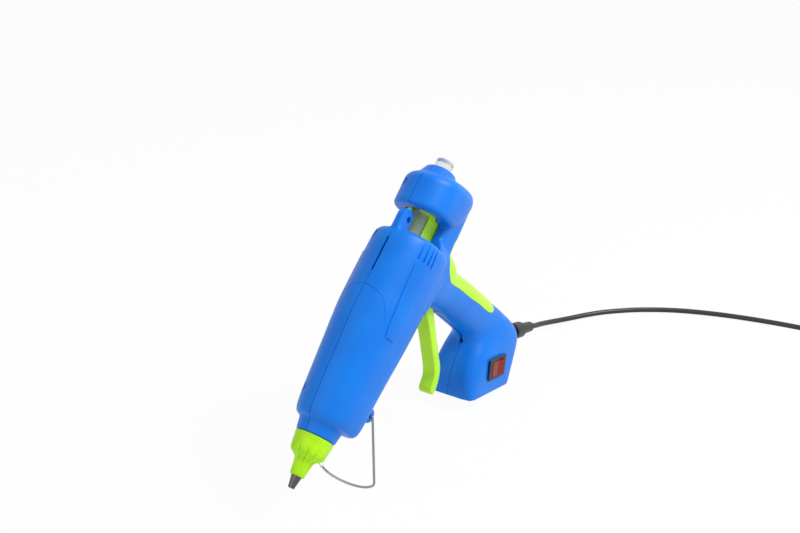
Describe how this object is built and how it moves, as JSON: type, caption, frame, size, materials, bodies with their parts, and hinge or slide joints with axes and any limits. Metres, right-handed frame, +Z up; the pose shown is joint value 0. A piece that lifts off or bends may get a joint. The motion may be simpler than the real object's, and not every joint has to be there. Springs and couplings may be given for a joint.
{
  "type": "hot glue gun",
  "caption": "Mains hot glue gun for standard sticks: split casing, trigger-driven feed carriage, heated chamber, silicone nozzle boot, fold-out wire stand, rocker switch and coiled lead.",
  "frame": {"origin": "on the floor, under the middle of the gun's bounding box, its lead and plug left out", "axes": "+X towards the nozzle end, +Y to the gun's left, +Z up; the gun stands nose down, its stick at 44 degrees to the floor, on the wire stand's foot and the heel of the handle's base"},
  "size_m": [0.4211, 0.2911, 0.1765],
  "materials": {
    "blue_abs": "moulded ABS, fine spark texture",
    "lime_abs": "moulded ABS, satin",
    "lime_silicone": "moulded silicone",
    "nozzle_steel": "turned, darkened by heat",
    "spring_wire": "bright nickel-plated spring wire",
    "clear_glue": "clear hot-melt stick",
    "black_nylon": "moulded nylon",
    "red_polycarbonate": "clear red, glossy",
    "cast_aluminium": "die cast",
    "heater_film": "insulating film round the heater",
    "brown_phenolic": "moulded phenolic",
    "white_silicone": "silicone",
    "zinc_steel": "zinc plated",
    "tinned_brass": "tinned",
    "black_pvc": "smooth PVC sheath"
  },
  "bodies": {
    "casing": {"shell_left": "blue_abs", "shell_right": "blue_abs", "shell_screw_front": "zinc_steel", "shell_screw_rear": "zinc_steel", "shell_screw_head": "zinc_steel", "shell_screw_keel": "zinc_steel", "shell_screw_grip": "zinc_steel", "shell_screw_toe": "zinc_steel", "shell_screw_heel": "zinc_steel", "nozzle_boot": "lime_silicone", "nozzle": "nozzle_steel", "backstrap": "lime_abs", "switch_housing": "black_nylon", "switch_terminal_1": "tinned_brass", "switch_terminal_2": "tinned_brass", "strain_relief": "black_nylon", "inner_lead": "black_pvc", "cord_clamp_upper": "black_nylon", "cord_clamp_lower": "black_nylon", "melt_chamber": "cast_aluminium", "heater_plate": "heater_film", "heater_clip": "zinc_steel", "front_insulator": "brown_phenolic", "rear_insulator": "brown_phenolic", "feed_sleeve": "white_silicone", "sleeve_clip": "zinc_steel", "trigger_pin": "zinc_steel", "return_spring": "spring_wire", "mains_cord": "black_pvc", "cord_coil": "black_pvc", "cord_tail": "black_pvc", "cord_tie": "black_nylon", "plug_body": "black_nylon", "plug_pin_1": "tinned_brass", "plug_pin_2": "tinned_brass"},
    "trigger": {"trigger": "lime_abs", "drive_pin": "zinc_steel"},
    "carriage": {"feed_carriage": "lime_abs", "jaw_pin": "zinc_steel"},
    "jaw": {"grip_jaw": "zinc_steel"},
    "stick": {"glue_stick": "clear_glue"},
    "rocker": {"switch_rocker": "red_polycarbonate"},
    "stand": {"wire_stand": "spring_wire"}
  },
  "joints": [
    {"name": "trigger_pull", "type": "hinge", "parent": "casing", "child": "trigger", "pos_m": [0.0095, 0, 0.09176], "axis": [0, 1, 0], "range_deg": [0, 19], "stiffness_Nm_per_rad": 0.12, "springref_deg": -17.19},
    {"name": "carriage_slide", "type": "slide", "parent": "casing", "child": "carriage", "axis": [0.7193, 0, -0.6947], "range_m": [0, 0.0092], "deforming": ["return_spring"]},
    {"name": "jaw_tip", "type": "hinge", "parent": "carriage", "child": "jaw", "pos_m": [0.04554, 0, 0.12562], "axis": [0, 1, 0], "range_deg": [0, 4]},
    {"name": "stick_feed", "type": "slide", "parent": "casing", "child": "stick", "axis": [0.7193, 0, -0.6947], "range_m": [-0.08, 0.016]},
    {"name": "rocker_tilt", "type": "hinge", "parent": "casing", "child": "rocker", "pos_m": [-0.05595, 0.016, 0.02155], "axis": [-0.1564, 0, 0.9877], "range_deg": [0, 14]},
    {"name": "stand_fold", "type": "hinge", "parent": "casing", "child": "stand", "pos_m": [0.08295, 0, 0.04863], "axis": [0, 1, 0], "range_deg": [0, 120]}
  ],
  "couplings": [
    {"joint": "trigger_pull", "follows": "carriage_slide", "rad_per_m": 36},
    {"joint": "jaw_tip", "follows": "carriage_slide", "rad_per_m": 7.5}
  ]
}
